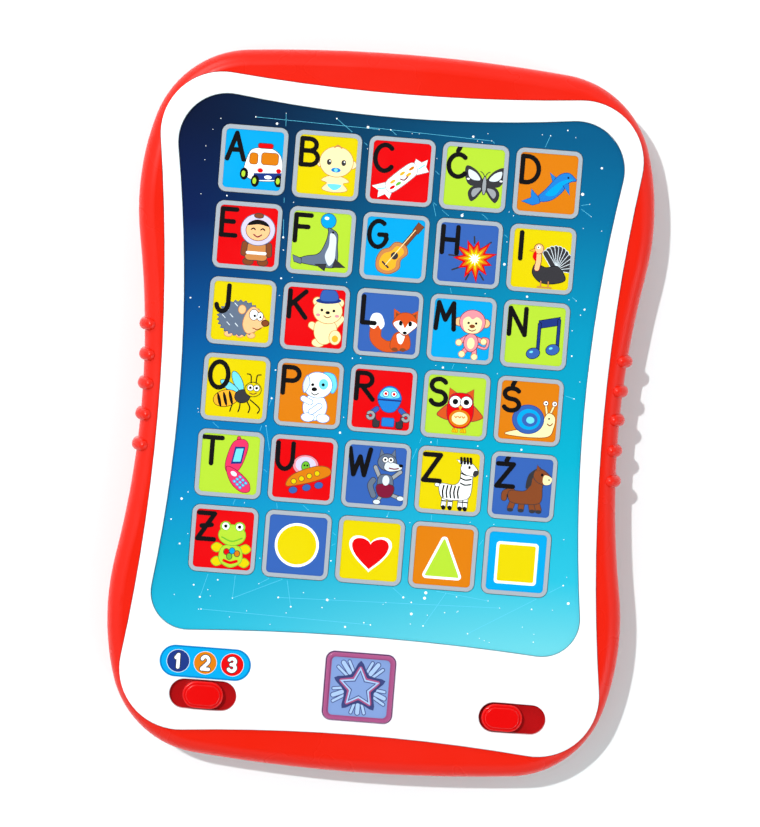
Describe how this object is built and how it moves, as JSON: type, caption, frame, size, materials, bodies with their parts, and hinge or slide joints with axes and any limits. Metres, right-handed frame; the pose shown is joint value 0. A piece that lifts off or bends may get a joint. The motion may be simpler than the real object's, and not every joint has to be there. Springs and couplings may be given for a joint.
{
  "type": "toy tablet",
  "caption": "Toy tablet for children: rounded case with side grip nubs, printed press keys in a sunken screen, a star light button, slide switches and a battery door in the back.",
  "frame": {"origin": "middle of the flat back, at the bottom centre of the bounding box", "axes": "+Y to the tablet's top edge, +X to its right side seen from the front, +Z out of the face"},
  "size_m": [0.1634, 0.229, 0.0264],
  "materials": {
    "red_plastic": "satin gloss red shell plastic",
    "knob_plastic": "polished red",
    "white_plastic": "polished white",
    "screen_print": "clear-coated print, dark blue to pale cyan",
    "clear_film": "clear polyester film",
    "key_plastic": "grey border, glossy",
    "key_print": "printed ink under a clear coat",
    "button_plastic": "translucent bluish grey with a pink rim",
    "label_print": "printed sticker",
    "circuit_board": "green solder mask",
    "steel": "stamped steel",
    "black_plastic": "moulded black",
    "led_lens": "clear lens",
    "black_epoxy": "poured epoxy",
    "component_black": "capacitor sleeve and chip parts",
    "connector_plastic": "off-white nylon",
    "speaker_paper": "pressed paper cone",
    "magnet_steel": "zinc plated",
    "battery_wrap": "printed sleeve with a plain end",
    "contact_nickel": "nickel plated",
    "wire_sheath": "vinyl sheath",
    "screw_steel": "zinc plated"
  },
  "bodies": {
    "housing": {"rear_shell": "red_plastic", "front_frame": "red_plastic", "face_plate": "white_plastic", "graphic_overlay": "screen_print", "membrane_upper_film": "clear_film", "membrane_separator": "clear_film", "membrane_lower_film": "clear_film", "mode_label": "label_print", "main_board": "circuit_board", "switch_bodies": "steel", "leds": "led_lens", "sound_chip": "black_epoxy", "board_components": "component_black", "ribbon_connector": "connector_plastic", "speaker_basket": "steel", "speaker_cone": "speaker_paper", "speaker_magnet": "magnet_steel", "battery_cells": "battery_wrap", "battery_contacts": "contact_nickel", "lead_wires": "wire_sheath", "case_screws": "screw_steel", "small_screws": "screw_steel"},
    "key_a": {"key_a": "key_plastic"},
    "key_b": {"key_b": "key_plastic"},
    "key_c": {"key_c": "key_plastic"},
    "key_c_acute": {"key_c_acute": "key_plastic"},
    "key_d": {"key_d": "key_plastic"},
    "key_e": {"key_e": "key_plastic"},
    "key_f": {"key_f": "key_plastic"},
    "key_g": {"key_g": "key_plastic"},
    "key_h": {"key_h": "key_plastic"},
    "key_i": {"key_i": "key_plastic"},
    "key_j": {"key_j": "key_plastic"},
    "key_k": {"key_k": "key_plastic"},
    "key_l": {"key_l": "key_plastic"},
    "key_m": {"key_m": "key_plastic"},
    "key_n": {"key_n": "key_plastic"},
    "key_o": {"key_o": "key_plastic"},
    "key_p": {"key_p": "key_plastic"},
    "key_r": {"key_r": "key_plastic"},
    "key_s": {"key_s": "key_plastic"},
    "key_s_acute": {"key_s_acute": "key_plastic"},
    "key_t": {"key_t": "key_plastic"},
    "key_u": {"key_u": "key_plastic"},
    "key_w": {"key_w": "key_plastic"},
    "key_z": {"key_z": "key_plastic"},
    "key_z_acute": {"key_z_acute": "key_plastic"},
    "key_z_dot": {"key_z_dot": "key_plastic"},
    "key_circle": {"key_circle": "key_plastic"},
    "key_heart": {"key_heart": "key_plastic"},
    "key_triangle": {"key_triangle": "key_plastic"},
    "key_square": {"key_square": "key_plastic"},
    "light_button": {"light_button": "button_plastic", "tact_plunger": "black_plastic"},
    "mode_slider": {"mode_knob": "knob_plastic", "mode_switch_lever": "black_plastic"},
    "power_slider": {"power_knob": "knob_plastic", "power_switch_lever": "black_plastic"},
    "battery_door": {"battery_door": "red_plastic"},
    "battery_door_screw": {"battery_door_screw": "screw_steel"}
  },
  "joints": [
    {"name": "press_light_button", "type": "slide", "parent": "housing", "child": "light_button", "axis": [0, 0, -1], "range_m": [0, 0.0008], "stiffness_N_per_m": 800, "springref_m": -0.001},
    {"name": "slide_mode", "type": "slide", "parent": "housing", "child": "mode_slider", "axis": [1, 0, 0], "range_m": [-0.0033, 0.0033]},
    {"name": "slide_power", "type": "slide", "parent": "housing", "child": "power_slider", "axis": [1, 0, 0], "range_m": [0, 0.0066]},
    {"name": "open_battery_door", "type": "hinge", "parent": "housing", "child": "battery_door", "pos_m": [0, -0.0153, 0], "axis": [-1, 0, 0], "range_deg": [0, 90]},
    {"name": "turn_door_screw", "type": "hinge", "parent": "battery_door", "child": "battery_door_screw", "pos_m": [0, 0.0262, 0], "axis": [0, 0, -1], "continuous": true},
    {"name": "press_key_a", "type": "slide", "parent": "housing", "child": "key_a", "axis": [0, 0, -1], "range_m": [0, 0.0004], "stiffness_N_per_m": 500, "springref_m": -0.0004},
    {"name": "press_key_b", "type": "slide", "parent": "housing", "child": "key_b", "axis": [0, 0, -1], "range_m": [0, 0.0004], "stiffness_N_per_m": 500, "springref_m": -0.0004},
    {"name": "press_key_c", "type": "slide", "parent": "housing", "child": "key_c", "axis": [0, 0, -1], "range_m": [0, 0.0004], "stiffness_N_per_m": 500, "springref_m": -0.0004},
    {"name": "press_key_c_acute", "type": "slide", "parent": "housing", "child": "key_c_acute", "axis": [0, 0, -1], "range_m": [0, 0.0004], "stiffness_N_per_m": 500, "springref_m": -0.0004},
    {"name": "press_key_d", "type": "slide", "parent": "housing", "child": "key_d", "axis": [0, 0, -1], "range_m": [0, 0.0004], "stiffness_N_per_m": 500, "springref_m": -0.0004},
    {"name": "press_key_e", "type": "slide", "parent": "housing", "child": "key_e", "axis": [0, 0, -1], "range_m": [0, 0.0004], "stiffness_N_per_m": 500, "springref_m": -0.0004},
    {"name": "press_key_f", "type": "slide", "parent": "housing", "child": "key_f", "axis": [0, 0, -1], "range_m": [0, 0.0004], "stiffness_N_per_m": 500, "springref_m": -0.0004},
    {"name": "press_key_g", "type": "slide", "parent": "housing", "child": "key_g", "axis": [0, 0, -1], "range_m": [0, 0.0004], "stiffness_N_per_m": 500, "springref_m": -0.0004},
    {"name": "press_key_h", "type": "slide", "parent": "housing", "child": "key_h", "axis": [0, 0, -1], "range_m": [0, 0.0004], "stiffness_N_per_m": 500, "springref_m": -0.0004},
    {"name": "press_key_i", "type": "slide", "parent": "housing", "child": "key_i", "axis": [0, 0, -1], "range_m": [0, 0.0004], "stiffness_N_per_m": 500, "springref_m": -0.0004},
    {"name": "press_key_j", "type": "slide", "parent": "housing", "child": "key_j", "axis": [0, 0, -1], "range_m": [0, 0.0004], "stiffness_N_per_m": 500, "springref_m": -0.0004},
    {"name": "press_key_k", "type": "slide", "parent": "housing", "child": "key_k", "axis": [0, 0, -1], "range_m": [0, 0.0004], "stiffness_N_per_m": 500, "springref_m": -0.0004},
    {"name": "press_key_l", "type": "slide", "parent": "housing", "child": "key_l", "axis": [0, 0, -1], "range_m": [0, 0.0004], "stiffness_N_per_m": 500, "springref_m": -0.0004},
    {"name": "press_key_m", "type": "slide", "parent": "housing", "child": "key_m", "axis": [0, 0, -1], "range_m": [0, 0.0004], "stiffness_N_per_m": 500, "springref_m": -0.0004},
    {"name": "press_key_n", "type": "slide", "parent": "housing", "child": "key_n", "axis": [0, 0, -1], "range_m": [0, 0.0004], "stiffness_N_per_m": 500, "springref_m": -0.0004},
    {"name": "press_key_o", "type": "slide", "parent": "housing", "child": "key_o", "axis": [0, 0, -1], "range_m": [0, 0.0004], "stiffness_N_per_m": 500, "springref_m": -0.0004},
    {"name": "press_key_p", "type": "slide", "parent": "housing", "child": "key_p", "axis": [0, 0, -1], "range_m": [0, 0.0004], "stiffness_N_per_m": 500, "springref_m": -0.0004},
    {"name": "press_key_r", "type": "slide", "parent": "housing", "child": "key_r", "axis": [0, 0, -1], "range_m": [0, 0.0004], "stiffness_N_per_m": 500, "springref_m": -0.0004},
    {"name": "press_key_s", "type": "slide", "parent": "housing", "child": "key_s", "axis": [0, 0, -1], "range_m": [0, 0.0004], "stiffness_N_per_m": 500, "springref_m": -0.0004},
    {"name": "press_key_s_acute", "type": "slide", "parent": "housing", "child": "key_s_acute", "axis": [0, 0, -1], "range_m": [0, 0.0004], "stiffness_N_per_m": 500, "springref_m": -0.0004},
    {"name": "press_key_t", "type": "slide", "parent": "housing", "child": "key_t", "axis": [0, 0, -1], "range_m": [0, 0.0004], "stiffness_N_per_m": 500, "springref_m": -0.0004},
    {"name": "press_key_u", "type": "slide", "parent": "housing", "child": "key_u", "axis": [0, 0, -1], "range_m": [0, 0.0004], "stiffness_N_per_m": 500, "springref_m": -0.0004},
    {"name": "press_key_w", "type": "slide", "parent": "housing", "child": "key_w", "axis": [0, 0, -1], "range_m": [0, 0.0004], "stiffness_N_per_m": 500, "springref_m": -0.0004},
    {"name": "press_key_z", "type": "slide", "parent": "housing", "child": "key_z", "axis": [0, 0, -1], "range_m": [0, 0.0004], "stiffness_N_per_m": 500, "springref_m": -0.0004},
    {"name": "press_key_z_acute", "type": "slide", "parent": "housing", "child": "key_z_acute", "axis": [0, 0, -1], "range_m": [0, 0.0004], "stiffness_N_per_m": 500, "springref_m": -0.0004},
    {"name": "press_key_z_dot", "type": "slide", "parent": "housing", "child": "key_z_dot", "axis": [0, 0, -1], "range_m": [0, 0.0004], "stiffness_N_per_m": 500, "springref_m": -0.0004},
    {"name": "press_key_circle", "type": "slide", "parent": "housing", "child": "key_circle", "axis": [0, 0, -1], "range_m": [0, 0.0004], "stiffness_N_per_m": 500, "springref_m": -0.0004},
    {"name": "press_key_heart", "type": "slide", "parent": "housing", "child": "key_heart", "axis": [0, 0, -1], "range_m": [0, 0.0004], "stiffness_N_per_m": 500, "springref_m": -0.0004},
    {"name": "press_key_triangle", "type": "slide", "parent": "housing", "child": "key_triangle", "axis": [0, 0, -1], "range_m": [0, 0.0004], "stiffness_N_per_m": 500, "springref_m": -0.0004},
    {"name": "press_key_square", "type": "slide", "parent": "housing", "child": "key_square", "axis": [0, 0, -1], "range_m": [0, 0.0004], "stiffness_N_per_m": 500, "springref_m": -0.0004}
  ]
}
